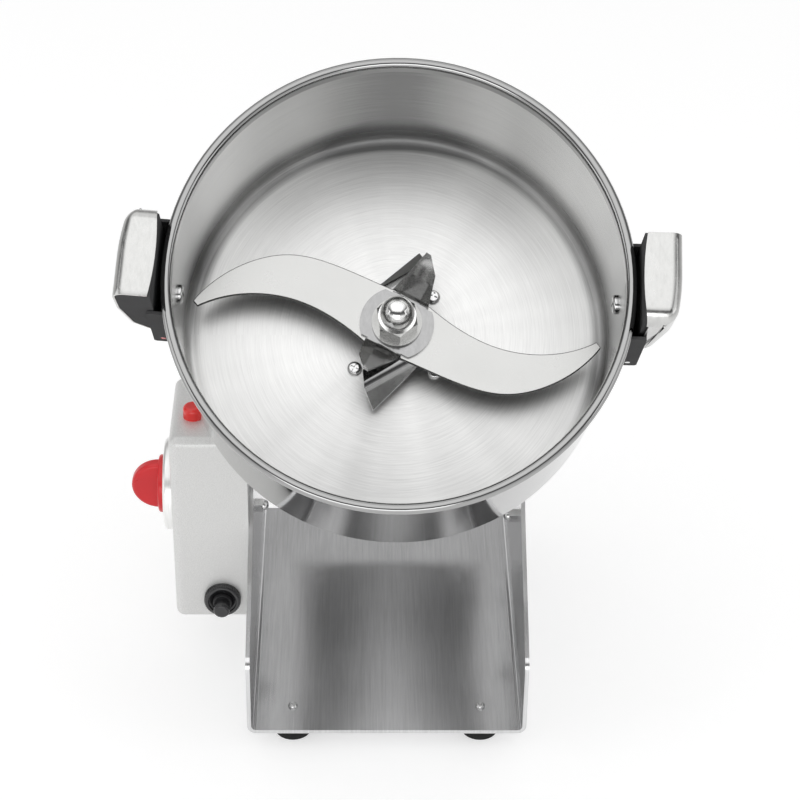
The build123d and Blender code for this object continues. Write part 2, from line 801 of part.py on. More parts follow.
def lower_bracket():
    hub_r = lower_bearing_r + bracket_hub_wall
    low = bracket_top - bracket_thick
    bracket = rod(hub_r, bearing_low, bracket_top)
    for angle in corner_angles:
        arm = block(0, post_circle, -post_r, post_r, low, bracket_top)
        bracket += Rot(0, 0, angle) * arm
        bracket += around(angle, post_circle) * rod(post_r, low, stator_low)
    holder_low = brush_w - brush_height / 2 - holder_wall
    half = brush_width / 2 + holder_wall
    for side in (-1, 1):
        arm = block(-half, half, 0, side * holder_end, low, bracket_top)
        pad = block(-half, half, side * hub_r, side * holder_end, bracket_top, holder_low)
        bracket += arm + pad
    bracket -= rod(lower_bearing_r, bearing_low, bracket_top)
    for angle in corner_angles:
        bracket -= around(angle, post_circle) * rod(through_bolt_r + seat_gap, low, stator_low)
    return bracket


def through_bolts():
    low = bracket_top - bracket_thick
    bolt = rod(through_bolt_r, low, stator_top + through_bolt_grip)
    bolt += rod(through_bolt_head_r, low - through_bolt_head, low)
    return Compound(children=[around(angle, post_circle) * bolt for angle in corner_angles])


def brush_holders():
    start = commutator_r + clear_gap
    sides = []
    for side in (-1, 1):
        half, tall = brush_width / 2, brush_height / 2
        outside = block(-half - holder_wall, half + holder_wall, side * start, side * holder_end,
                        brush_w - tall - holder_wall, brush_w + tall + holder_wall)
        sides.append(outside - block(-half, half, side * start, side * (holder_end - holder_wall),
                                     brush_w - tall, brush_w + tall))
    return Compound(children=sides)


def carbon_brushes():
    start = commutator_r + part_gap
    half, tall = brush_width / 2, brush_height / 2
    return Compound(children=[
        block(-half, half, side * start, side * (start + brush_length),
              brush_w - tall, brush_w + tall) for side in (-1, 1)])


# ---- rotor
def motor_shaft():
    shaft = rod(shaft_low_r - run_fit, bearing_low - shaft_tail, commutator_low())
    shaft += rod(shaft_mid_r, commutator_low(), fan_top)
    shaft += rod(collar_r, fan_top, collar_top)
    shaft += rod(shaft_r - run_fit, collar_top, spacer_low)
    shaft += rod(shaft_mid_r, spacer_low, lower_cross_low)
    return shaft + rod(shaft_tip_r, lower_cross_low, nut_low + shaft_grip)


def commutator_low():
    return stator_low - winding_length - commutator_gap - commutator_length


def armature_core():
    core = ring(armature_r, shaft_mid_r, stator_low, stator_top)
    for n in range(armature_slots):
        slot = block(armature_r - slot_depth, armature_r + slot_width, -slot_width / 2,
                     slot_width / 2, stator_low, stator_top)
        core -= Rot(0, 0, 360.0 / armature_slots * n) * slot
    return core


def armature_windings():
    turns = []
    for low in (stator_low - winding_length, stator_top):
        turn = ring(winding_r, shaft_mid_r, low, low + winding_length)
        turns.append(fillet(turn.edges().filter_by(GeomType.CIRCLE).sort_by(
            SortBy.RADIUS)[-2:], winding_round))
    return Compound(children=turns)


def commutator():
    return ring(commutator_r, shaft_mid_r, commutator_low(), commutator_low() + commutator_length)


def cooling_fan():
    low = fan_top - fan_height
    fan = rod(fan_r, low, low + fan_plate) + rod(fan_hub_r, low, fan_top)
    for n in range(fan_vanes):
        vane = block(fan_hub_r - fan_vane, fan_r - fan_vane, -fan_vane / 2, fan_vane / 2,
                     low, fan_top - fan_plate)
        fan += Rot(0, 0, 360.0 / fan_vanes * n) * vane
    return fan - rod(shaft_mid_r, low, fan_top)


def blade_spacer():
    return ring(spacer_r, shaft_mid_r, spacer_low, lower_cross_low)


def folded_wing(turn, fold, bend, bend_round, along):
    # a flat sheet that leaves the hub along local +Y and folds at its fold line, with its underside
    # at Z = 0; turned so that the fold line's normal points that many degrees from +Y
    middle = bend_round + blade_sheet / 2
    side = 1 if bend > 0 else -1
    arc_start = fold - middle * tan(radians(abs(bend) / 2))
    centre = (arc_start, side * middle)
    arc = CenterArc(centre, middle, -90 * side, bend)
    end = arc @ 1
    slope = radians(bend)
    tip = (end.X + along * cos(slope), end.Y + along * sin(slope))
    line = Line((0, 0), (arc_start, 0)) + arc + Line(end, tip)
    strip = Plane.YZ * Pos(0, blade_sheet / 2) * trace(line, blade_sheet)
    return Rot(0, 0, turn) * extrude(strip, along, both=True)


def cross_blade(low, crease, bend, bend_round, outline):
    # hub disc with two folded wings, cut to their outline as seen along the shaft
    fold, normal = fold_place(crease)
    start, *rest = outline
    prism = extrude(make_face(Polyline(start, (0, 0), *rest, close=True)), 2 * cross_hub_r, both=True)
    wing = folded_wing(normal, fold, bend, bend_round, 2 * cross_hub_r) & prism
    hub = rod(cross_hub_r, 0, blade_sheet)
    keep = Rot(0, 0, normal) * block(-2 * cross_hub_r, 2 * cross_hub_r,
                                     -fold + bend_round, fold - bend_round, 0, blade_sheet)
    blade = (hub & keep) + wing + Rot(0, 0, 180) * wing
    return Pos(0, 0, low) * (blade - rod(shaft_tip_r, 0, blade_sheet))


def fold_place(crease):
    # distance of the fold line from the shaft axis, and degrees from +Y of its normal
    (x0, y0), (x1, y1) = crease
    turn = atan2(y1 - y0, x1 - x0)
    distance = cos(turn) * y0 - sin(turn) * x0
    return (distance, degrees(turn)) if distance > 0 else (-distance, degrees(turn) + 180)


# fold lines and outlines from above the blades; an outline runs round the wing from the hub's one
# side to its other side
upper_crease = ((17.6, 9.1), (-2.2, 19.4))
lower_crease = ((-15.3, -33.5), (5.5, -21.5))
upper_wing = ((17.6, 9.1), (-2.2, 19.4), (16.1, 33.6), (18.5, 32.0), (21.1, 22.6))
lower_wing = ((-19.0, -26.0), (14.0, -20.0), (12.5, -22.0), (-13.0, -46.0), (-18.0, -36.0))
long_blade_back = ((-2.7, 20.4), (-35.3, 34.8), (-59.9, 40.5), (-84.3, 35.5), (-113.8, 13.2))
long_blade_edge = ((-111.3, 10.1), (-78.5, 17.3), (-56.3, 13.5), (-27.5, -2.5), (-18.5, -10.0))


def long_blade():
    half = Spline(*long_blade_back) + Line(long_blade_back[-1], long_blade_edge[0])
    half += Spline(*long_blade_edge)
    across = Line(long_blade_edge[-1], (-long_blade_back[0][0], -long_blade_back[0][1]))
    outline = half + across
    outline += Rot(0, 0, 180) * outline
    blade = extrude(make_face(outline), long_blade_sheet)
    blade = Pos(0, 0, long_blade_low) * blade
    return blade - rod(shaft_tip_r, long_blade_low, upper_cross_low)


def blade_washer():
    return ring(washer_r, shaft_tip_r, washer_low, nut_low)


def blade_nut():
    dome_low = nut_height - nut_dome_r
    profile = make_face(Line((0, 0), (nut_dome_r, 0)) + Line((nut_dome_r, 0), (nut_dome_r, dome_low))
                        + CenterArc((0, dome_low), nut_dome_r, 0, 90)
                        + Line((0, nut_height), (0, 0)))
    nut = revolve(Plane.XZ * profile, Axis.Z)
    hexed = Rot(0, 0, nut_turn) * hexagon(nut_af, 0, nut_hex)
    chamfer_cone = Pos(0, 0, nut_hex) * Cone(nut_af + nut_hex, nut_af / 2, nut_hex + nut_af / 2,
                                            align=(Align.CENTER, Align.CENTER, Align.MAX))
    nut += hexed & chamfer_cone
    return Pos(0, 0, nut_low) * (nut - rod(shaft_tip_r, 0, nut_height - nut_dome_r + nut_wall))


# ---- latches, built at angle 0 with X out from the bowl axis
def lever_path():
    # outside of the lever from its top inner edge, over the top and down to its tail
    steps = [(0.0, latch_top), (latch_reach, latch_top), latch_knee, latch_slope, latch_waist,
             latch_tail]
    return [(latch_inner_r + out, rim_w + up) for out, up in steps]


def inset_path(points, distance):
    # the same run of straight pieces, moved to the inside by the distance
    moved = []
    for (x0, y0), (x1, y1) in zip(points, points[1:]):
        length = hypot(x1 - x0, y1 - y0)
        out = ((y1 - y0) / length * distance, -(x1 - x0) / length * distance)
        moved.append(((x0 + out[0], y0 + out[1]), (x1 + out[0], y1 + out[1])))
    inner = [moved[0][0]]
    for (a, b), (c, d) in zip(moved, moved[1:]):
        ux, uy, vx, vy = b[0] - a[0], b[1] - a[1], d[0] - c[0], d[1] - c[1]
        along = ((c[0] - a[0]) * vy - (c[1] - a[1]) * vx) / (ux * vy - uy * vx)
        inner.append((a[0] + along * ux, a[1] + along * uy))
    return inner + [moved[-1][1]]


def lever_rounds(inset):
    return {1: latch_corner - inset, 2: latch_corner, 3: latch_corner, 4: latch_waist_round}


def latch_cover():
    # folded steel skin: top, outside and one side
    outside = lever_path()
    inside = inset_path(outside, latch_sheet)
    half = latch_width / 2
    back = [(inside[-1][0], outside[-1][1]), (latch_inner_r, rim_w + latch_slope[1])]
    skin = extrude(Plane.XZ * rounded_face(outside + back, lever_rounds(0)), half, both=True)
    corner = [edge for edge in skin.edges() if abs(edge.center().Y + half) < seat_gap
              and edge.center().X > latch_inner_r + latch_sheet]
    skin = fillet(corner, latch_side_round)
    far = [(bowl_inner_r, inside[-1][1] - latch_sheet), (bowl_inner_r, inside[0][1])]
    inside[-1] = (inside[-1][0], inside[-1][1] - latch_sheet)
    room = extrude(Plane.XZ * rounded_face(inside + far, lever_rounds(latch_sheet)), latch_width)
    return skin - Pos(0, half + latch_sheet, 0) * room


def latch_core():
    # moulded lever inside the skin, with two eyes for the pin at its lower end
    inside = inset_path(lever_path(), latch_sheet)
    half = latch_width / 2
    x, z = pin_at
    back = [(x, z), (x - eye_r, z), (latch_inner_r, rim_w + latch_slope[1])]
    core = rounded_face(inside[:-1] + back, lever_rounds(latch_sheet))
    core += Pos(x, z) * Circle(eye_r)
    room = extrude(Plane.XZ * core, latch_width - latch_sheet - seat_gap)
    room = Pos(0, half - seat_gap, 0) * room
    room -= rod_y(pin_r + run_fit, -half, half, x, z)
    recess = eye_r + clear_gap
    return room - block(x - recess, x + recess, -half + eye_width, half - eye_width,
                        z - recess, z + recess)


def latch_bracket():
    x, z = pin_at
    side = latch_width / 2 + part_gap
    outer = latch_inner_r + cheek_reach
    top, low = rim_w + latch_bracket_top, rim_w + latch_bracket_low
    bracket = block(0, outer, -side - cheek, side + cheek, low, top)
    bracket = fillet(bracket.edges().filter_by(Axis.Y).sort_by(Axis.X)[-2:], cheek_round)
    bracket -= block(plate_face_r, outer + cheek, -side, side, low, top)
    bracket -= rod(bowl_outer_r, low, top)
    bracket -= rod_y(pin_r, -side - cheek, side + cheek, x, z)
    hole = rod_x(wall_screw_r, bowl_inner_r, wall_screw_seat() + wall_screw_length + bowl_sheet,
                 0, rim_w - wall_screw_drop)
    return bracket - Rot(0, 0, wall_screw_turn) * hole


def wall_screw_seat():
    # the flat under the head touches the round wall at the head's edge
    return sqrt(bowl_inner_r ** 2 - wall_screw_head_r ** 2)


def latch_wall_screw():
    screw = pan_screw(wall_screw_r, wall_screw_length + bowl_sheet, wall_screw_head_r,
                      wall_screw_head)
    return around(wall_screw_turn, wall_screw_seat(), rim_w - wall_screw_drop) * Rot(0, -90, 0) * screw


def latch_pin():
    side = latch_width / 2 + part_gap + cheek
    return rod_y(pin_r, -side, side, *pin_at)


def latch_spring():
    # torsion spring round the pin, one leg against the back of the bracket
    x, z = pin_at
    reach = latch_width / 2 - eye_width - part_gap
    inner = pin_r + spring_gap
    coil = rod_y(inner + spring_wire, -reach, reach, x, z) - rod_y(inner, -reach, reach, x, z)
    leg = block(plate_face_r, plate_face_r + spring_wire, reach - spring_wire, reach, z, z + spring_leg)
    bridge = block(plate_face_r, x - inner, reach - spring_wire, reach, z, z + spring_wire)
    return coil + leg + bridge


def both_sides(shape):
    return Compound(children=[Rot(0, 0, turn) * shape for turn in latch_turns.values()])


# ---- every piece, in its place at rest
standing = {
    "stand_frame": stand_frame(),
    "foot_screws": foot_screws(),
    "pivot_bushes": pivot_bushes(),
    "side_bolts": side_bolts(),
    "side_nuts": side_nuts(),
    "control_box_shell": control_box_shell(),
    "control_box_back": control_box_back(),
    "control_box_screws": control_box_screws(),
    "timer_escutcheon": timer_escutcheon(),
    "timer_switch": timer_switch(),
    "timer_knob": timer_knob(),
    "lamp_body": lamp_body(),
    "lamp_lens": lamp_lens(),
    "breaker_body": breaker_body(),
    "breaker_nut": breaker_nut(),
    "breaker_plunger": breaker_plunger(),
    "cable_gland": cable_gland(),
}
for name, (x, y) in foot_places().items():
    standing[name] = foot(x, y)

swinging = {
    "bowl": bowl(),
    "bowl_floor": bowl_floor(),
    "bearing_flange": bearing_flange(),
    "shaft_seal": shaft_seal(),
    "upper_bearing": bearing(shaft_r, upper_bearing_r, hub_low, upper_bearing_width),
    "lower_bearing": bearing(shaft_low_r, lower_bearing_r, bearing_low, lower_bearing_width),
    "floor_screws": floor_screws(),
    "motor_housing": motor_housing(),
    "housing_grommet": housing_grommet(),
    "housing_cover": housing_cover(),
    "cover_screws": cover_screws(),
    "trunnion_bosses": trunnion_bosses(),
    "pivot_bolts": pivot_bolts(),
    "stator_core": stator_core(),
    "field_coils": field_coils(),
    "lower_bracket": lower_bracket(),
    "through_bolts": through_bolts(),
    "brush_holders": brush_holders(),
    "carbon_brushes": carbon_brushes(),
    "motor_shaft": motor_shaft(),
    "armature_core": armature_core(),
    "armature_windings": armature_windings(),
    "commutator": commutator(),
    "cooling_fan": cooling_fan(),
    "blade_spacer": blade_spacer(),
    "lower_cross_blade": cross_blade(lower_cross_low, lower_crease, -lower_bend, lower_round, lower_wing),
    "long_blade": long_blade(),
    "upper_cross_blade": cross_blade(upper_cross_low, upper_crease, upper_bend, upper_round, upper_wing),
    "blade_washer": blade_washer(),
    "blade_nut": blade_nut(),
    "latch_wall_screws": both_sides(latch_wall_screw()),
    "latch_pins": both_sides(latch_pin()),
    "latch_springs": both_sides(latch_spring()),
}
for side, turn in latch_turns.items():
    swinging[f"latch_cover_{side}"] = Rot(0, 0, turn) * latch_cover()
    swinging[f"latch_core_{side}"] = Rot(0, 0, turn) * latch_core()
    swinging[f"latch_bracket_{side}"] = Rot(0, 0, turn) * latch_bracket()

for name, shape in standing.items():
    export_step(stand_place * shape, f"parts/{name}.step")
for name, shape in swinging.items():
    export_step(stand_place * rest_place * shape, f"parts/{name}.step")
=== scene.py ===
import math
import bmesh
import bpy
from mathutils import Matrix, Vector


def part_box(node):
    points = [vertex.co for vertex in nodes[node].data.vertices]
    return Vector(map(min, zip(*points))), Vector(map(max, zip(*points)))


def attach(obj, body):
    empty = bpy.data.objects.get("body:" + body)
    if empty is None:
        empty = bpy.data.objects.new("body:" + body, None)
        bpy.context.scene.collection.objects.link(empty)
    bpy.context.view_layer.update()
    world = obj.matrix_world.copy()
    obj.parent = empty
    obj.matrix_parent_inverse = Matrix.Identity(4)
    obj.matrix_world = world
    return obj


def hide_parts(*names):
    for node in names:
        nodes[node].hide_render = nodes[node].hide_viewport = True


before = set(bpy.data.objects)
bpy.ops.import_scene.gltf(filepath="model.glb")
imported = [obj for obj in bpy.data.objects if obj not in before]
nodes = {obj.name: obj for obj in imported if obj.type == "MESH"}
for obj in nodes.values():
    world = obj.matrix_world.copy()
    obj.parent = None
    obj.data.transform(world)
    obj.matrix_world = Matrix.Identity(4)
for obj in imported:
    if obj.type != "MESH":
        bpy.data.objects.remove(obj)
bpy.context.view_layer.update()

mm = 0.001
sharpFrom = 50.0
print("frame loaded:", len(nodes), "nodes")

# the swinging unit: local Z is the bowl's axis, with the pivot at zero
swing = dict(pivot=(4.0, 29.3, 190.5), tilt=42.14)
restPlace = Matrix.Translation(Vector(swing["pivot"]) * mm) @ Matrix.Rotation(
    math.radians(swing["tilt"]), 4, "X") @ Matrix.Scale(mm, 4)


# small tools

def meshPiece(name, verts, faces, place, materials, smooth=True):
    mesh = bpy.data.meshes.new(name)
    mesh.from_pydata([place @ Vector(v) for v in verts], [], faces)
    for material in materials:
        mesh.materials.append(material)
    mesh.polygons.foreach_set("use_smooth", [smooth] * len(mesh.polygons))
    mesh.validate()
    piece = bpy.data.objects.new(name, mesh)
    bpy.context.scene.collection.objects.link(piece)
    return piece


def outward(piece):
    work = bmesh.new()
    work.from_mesh(piece.data)
    bmesh.ops.recalc_face_normals(work, faces=work.faces)
    work.to_mesh(piece.data)
    work.free()
    return piece


def mergedCopy(node, name, merge, flatWithin=None):
    # a CAD node's loose triangles as one closed skin, its flats made whole where asked
    mesh = nodes[node].data.copy()
    mesh.transform(nodes[node].matrix_world)
    piece = bpy.data.objects.new(name, mesh)
    bpy.context.scene.collection.objects.link(piece)
    work = bmesh.new()
    work.from_mesh(mesh)
    bmesh.ops.remove_doubles(work, verts=work.verts, dist=merge * mm)
    if flatWithin:
        bmesh.ops.dissolve_limit(work, angle_limit=math.radians(flatWithin), verts=work.verts,
                                 edges=work.edges)
    bmesh.ops.recalc_face_normals(work, faces=work.faces)
    work.to_mesh(mesh)
    work.free()
    return piece


def breakEdges(piece, width, segments):
    edges = piece.modifiers.new("edges", "BEVEL")
    edges.width, edges.segments, edges.limit_method = width * mm, segments, "ANGLE"
    edges.angle_limit = math.radians(sharpFrom)


def giveFinish(piece, finish):
    piece.data.materials.clear()
    piece.data.materials.append(finishes[finish])


def bakeModifiers(piece):
    # the evaluated mesh becomes the piece's own mesh
    bpy.context.view_layer.update()
    evaluated = piece.evaluated_get(bpy.context.evaluated_depsgraph_get())
    mesh = bpy.data.meshes.new_from_object(evaluated)
    piece.modifiers.clear()
    piece.data = mesh
    return piece


def arcPoints(centre, radius, start, end, count):
    steps = [math.radians(start + (end - start) * n / count) for n in range(count + 1)]
    return [(centre[0] + radius * math.cos(a), centre[1] + radius * math.sin(a)) for a in steps]


def roundPath(points, radii, steps=6):
    # an open run of straight pieces with its inner corners rounded
    path = [Vector(points[0])]
    for before, corner, after, radius in zip(points, points[1:], points[2:], radii):
        before, corner, after = Vector(before), Vector(corner), Vector(after)
        into, out = (before - corner).normalized(), (after - corner).normalized()
        half = into.angle(out) / 2
        reach = radius / math.tan(half)
        centre = corner + (into + out).normalized() * radius / math.sin(half)
        start, end = corner + into * reach - centre, corner + out * reach - centre
        turn = start.angle_signed(end)
        for n in range(steps + 1):
            path.append(centre + Matrix.Rotation(-turn * n / steps, 2) @ start)
    return path + [Vector(points[-1])]


def lathe(name, profile, place, materials, segments):
    # a closed profile of (radius, height) swept round the local Z axis
    verts, faces, count = [], [], len(profile)
    for s in range(segments):
        a, t = 2 * math.pi * s / segments, (s + 1) % segments
        verts += [(r * math.cos(a), r * math.sin(a), z) for r, z in profile]
        for p in range(count):
            q = (p + 1) % count
            faces.append((s * count + p, t * count + p, t * count + q, s * count + q))
    return outward(meshPiece(name, verts, faces, place, materials))


# finishes

def newFinish(name, colour, metallic, roughness):
    material = bpy.data.materials.new(name)
    material.use_nodes = True
    shader = material.node_tree.nodes["Principled BSDF"]
    shader.inputs["Base Color"].default_value = (*colour, 1)
    shader.inputs["Metallic"].default_value = metallic
    shader.inputs["Roughness"].default_value = roughness
    return material, material.node_tree, shader


def addNode(tree, kind, **settings):
    node = tree.nodes.new(kind)
    for key, value in settings.items():
        if hasattr(node, key):
            setattr(node, key, value)
        else:
            node.inputs[key].default_value = value
    return node


def objectPoint(tree, place=None):
    # object coordinates, turned into a piece's own axes where it has them
    coords = addNode(tree, "ShaderNodeTexCoord").outputs["Object"]
    if place is None:
        return coords
    inverse = place.inverted()
    turn = addNode(tree, "ShaderNodeMapping", vector_type="POINT")
    turn.inputs["Location"].default_value = inverse.to_translation() * mm
    turn.inputs["Rotation"].default_value = inverse.to_euler()
    tree.links.new(coords, turn.inputs["Vector"])
    return turn.outputs["Vector"]


def feed(tree, node, values):
    # numbers are set on the node's sockets, and other nodes' outputs are linked to them
    for socket, value in zip(node.inputs, values):
        if isinstance(value, (int, float)):
            socket.default_value = value
        else:
            tree.links.new(value, socket)
    return node.outputs


def mathNode(tree, operation, *values, clamp=False):
    return feed(tree, addNode(tree, "ShaderNodeMath", operation=operation, use_clamp=clamp), values)[0]


def blend(tree, first, second, share):
    # the share of the first, and the rest of the second
    return mathNode(tree, "ADD", mathNode(tree, "MULTIPLY", first, share),
                    mathNode(tree, "MULTIPLY", second, 1 - share))


def combined(tree, *values):
    return feed(tree, addNode(tree, "ShaderNodeCombineXYZ"), values)[0]


def splitOf(tree, vector):
    return feed(tree, addNode(tree, "ShaderNodeSeparateXYZ"), (vector,))


def noiseOf(tree, vector, scale, detail=3.0, roughness=0.5):
    noise = addNode(tree, "ShaderNodeTexNoise", Scale=scale, Detail=detail, Roughness=roughness)
    tree.links.new(vector, noise.inputs["Vector"])
    return noise.outputs["Fac"]


def stretched(tree, vector, scale):
    mapping = addNode(tree, "ShaderNodeMapping")
    mapping.inputs["Scale"].default_value = scale
    tree.links.new(vector, mapping.inputs["Vector"])
    return mapping.outputs["Vector"]


def spread(tree, value, low, high, fromLow=0.3, fromHigh=0.7):
    node = addNode(tree, "ShaderNodeMapRange")
    node.inputs["From Min"].default_value = fromLow
    node.inputs["From Max"].default_value = fromHigh
    node.inputs["To Min"].default_value = low
    node.inputs["To Max"].default_value = high
    tree.links.new(value, node.inputs["Value"])
    return node.outputs["Result"]


def greyRamp(tree, value, stops, interpolation="LINEAR"):
    # a run of grey levels, each given with its place along the ramp
    node = addNode(tree, "ShaderNodeValToRGB")
    ramp = node.color_ramp
    ramp.interpolation = interpolation
    while len(ramp.elements) < len(stops):
        ramp.elements.new(0.5)
    for element, (at, level) in zip(ramp.elements, stops):
        element.position, element.color = at, (level, level, level, 1)
    tree.links.new(value, node.inputs[0])
    return node.outputs["Color"]


def shade(tree, shader, value, dark, light):
    ramp = addNode(tree, "ShaderNodeMix", data_type="RGBA")
    ramp.inputs["A"].default_value = (*dark, 1)
    ramp.inputs["B"].default_value = (*light, 1)
    tree.links.new(value, ramp.inputs["Factor"])
    tree.links.new(ramp.outputs["Result"], shader.inputs["Base Color"])


def bump(tree, shader, height, strength, distance):
    node = addNode(tree, "ShaderNodeBump", Strength=strength, Distance=distance)
    tree.links.new(height, node.inputs["Height"])
    tree.links.new(node.outputs["Normal"], shader.inputs["Normal"])


def polar(tree, point):
    # radius, angle and height of a point round the local Z axis
    x, y, z = splitOf(tree, point)
    radius = mathNode(tree, "SQRT", mathNode(tree, "ADD", mathNode(tree, "MULTIPLY", x, x),
                                             mathNode(tree, "MULTIPLY", y, y)))
    return radius, mathNode(tree, "ARCTAN2", y, x), z


def scaled(colour, factor, lift=0.0):
    return tuple(min(1.0, c * factor + lift) for c in colour)


def turnedSteel(name, colour, roughness, grain=900.0, wear=0.03, depth=0.25, sweep=0.012, clouds=55.0,
                darker=0.86, lighter=1.12):
    # steel brushed round an axis: the grain follows circles
    material, tree, shader = newFinish(name, colour, 1.0, roughness)
    radius, angle, height = polar(tree, objectPoint(tree, restPlace))
    along = mathNode(tree, "MULTIPLY", angle, sweep)
    lines = noiseOf(tree, combined(tree, radius, along, height), grain, 4.0, 0.7)
    cloud = noiseOf(tree, combined(tree, radius, along, height), clouds, 2.0)
    shade(tree, shader, spread(tree, blend(tree, lines, cloud, 0.5), 0.0, 1.0, 0.35, 0.65),
          scaled(colour, darker), scaled(colour, lighter))
    tree.links.new(spread(tree, lines, roughness - wear, roughness + wear), shader.inputs["Roughness"])
    bump(tree, shader, lines, depth, 0.0002)
    return material


def brushedSteel(name, colour, roughness, stretch, wear=0.04, depth=0.2, place=None, clouds=14.0,
                 darker=0.88, lighter=1.1):
    # steel with a straight grain along the short side of the stretch
    material, tree, shader = newFinish(name, colour, 1.0, roughness)
    point = objectPoint(tree, place)
    lines = noiseOf(tree, stretched(tree, point, stretch), 1.0, 4.0, 0.6)
    cloud = noiseOf(tree, point, clouds, 3.0)
    shade(tree, shader, spread(tree, blend(tree, lines, cloud, 0.6), 0.0, 1.0, 0.35, 0.65),
          scaled(colour, darker), scaled(colour, lighter))
    tree.links.new(spread(tree, cloud, roughness - wear, roughness + wear), shader.inputs["Roughness"])
    bump(tree, shader, lines, depth, 0.0002)
    return material


def polishedSteel(name, colour, roughness, scuff=60.0, depth=0.08, wear=0.05, darker=0.9, lighter=1.06):
    # bright steel with fine scuffs and a little waviness
    material, tree, shader = newFinish(name, colour, 1.0, roughness)
    point = objectPoint(tree)
    scuffs = noiseOf(tree, stretched(tree, point, (scuff * 8, scuff, scuff * 5)), 1.0, 5.0, 0.7)
    waves = noiseOf(tree, point, scuff * 0.4, 1.0)
    shade(tree, shader, spread(tree, scuffs, 0.0, 1.0), scaled(colour, darker), scaled(colour, lighter))
    tree.links.new(spread(tree, scuffs, max(0.02, roughness - wear), roughness + wear),
                   shader.inputs["Roughness"])
    bump(tree, shader, waves, depth, 0.001)
    return material


def moulded(name, colour, roughness, grain=900.0, depth=0.15, coat=0.0, metallic=0.0, lighter=1.6,
            specular=0.5, marked=35.0):
    # plastic or rubber with a fine grain and faint handling marks
    material, tree, shader = newFinish(name, colour, metallic, roughness)
    shader.inputs["Coat Weight"].default_value = coat
    shader.inputs["Coat Roughness"].default_value = 0.08
    shader.inputs["Specular IOR Level"].default_value = specular
    point = objectPoint(tree)
    fine = noiseOf(tree, point, grain, 3.0, 0.6)
    marks = noiseOf(tree, point, marked, 4.0)
    shade(tree, shader, spread(tree, marks, 0.0, 1.0), colour, scaled(colour, lighter, 0.002))
    tree.links.new(spread(tree, marks, roughness * 0.85, min(1.0, roughness * 1.2)),
                   shader.inputs["Roughness"])
    bump(tree, shader, fine, depth, 0.0002)
    return material


def speckledPaint(name, colour, dark, light, flakeSize=2600.0, peelSize=420.0):
    # silver paint with metal flakes and a slight orange peel
    material, tree, shader = newFinish(name, colour, 0.35, 0.42)
    point = objectPoint(tree)
    flakes = noiseOf(tree, point, flakeSize, 2.0, 0.7)
    peel = noiseOf(tree, point, peelSize, 2.0)
    shade(tree, shader, spread(tree, flakes, 0.0, 1.0, 0.38, 0.62), dark, light)
    tree.links.new(spread(tree, flakes, 0.36, 0.5), shader.inputs["Roughness"])
    shader.inputs["Coat Weight"].default_value = 0.25
    shader.inputs["Coat Roughness"].default_value = 0.25
    bump(tree, shader, peel, 0.12, 0.0003)
    return material


print("finishes ready")


# camera, light and floor

view = dict(place=(-15.313, -1147.752, 948.062), down=33.571, turn=1.113, roll=0.79, lens=105.82)


def makeCamera():
    down, turn, roll = (math.radians(view[k]) for k in ("down", "turn", "roll"))
    ahead = Vector((math.sin(turn) * math.cos(down), math.cos(turn) * math.cos(down), -math.sin(down)))
    right = Vector((math.cos(turn), -math.sin(turn), 0))
    up = right.cross(ahead)
    across = right * math.cos(roll) + up * math.sin(roll)
    above = up * math.cos(roll) - right * math.sin(roll)
    data = bpy.data.cameras.new("camera")
    data.lens, data.sensor_width, data.sensor_fit = view["lens"], 36.0, "HORIZONTAL"
    data.clip_end = 20.0
    camera = bpy.data.objects.new("camera", data)
    camera.matrix_world = Matrix.Translation(Vector(view["place"]) * mm) @ Matrix(
        (across, above, -ahead)).transposed().to_4x4()
    bpy.context.scene.collection.objects.link(camera)
    bpy.context.scene.camera = camera


lamps = (("overhead", (-0.1, -0.75, 1.85), (0.0, -0.1, 0.25), (2.4, 1.8), 5.5),
         ("leftSide", (-1.8, -0.5, 0.7), (0.0, 0.0, 0.2), (1.2, 1.2), 4.5),
         ("rightSide", (1.8, -0.6, 0.8), (0.0, 0.0, 0.2), (1.2, 1.2), 4.0),
         ("front", (-0.3, -2.3, 0.55), (0.0, 0.0, 0.15), (1.8, 0.8), 8.5))


def makeLamps():
    for name, place, target, size, power in lamps:
        data = bpy.data.lights.new(name, "AREA")
        data.shape, data.size, data.size_y, data.energy = "RECTANGLE", size[0], size[1], power
        lamp = bpy.data.objects.new(name, data)
        lamp.location = place
        lamp.rotation_euler = (Vector(target) - Vector(place)).to_track_quat("-Z", "Y").to_euler()
        bpy.context.scene.collection.objects.link(lamp)


# the room that metal mirrors: grey levels from below to above, dimmer behind and to the sides
room = dict(sky=0.62, behind=0.42, behindRange=(-0.2, 0.6), aside=0.55, asideRange=(0.55, 0.95),
            bands=((0.0, 1.0), (0.12, 0.95), (0.30, 0.20), (0.50, 0.06), (0.60, 0.26), (0.68, 0.72),
                   (0.80, 1.00), (0.93, 1.02), (1.0, 1.00)))


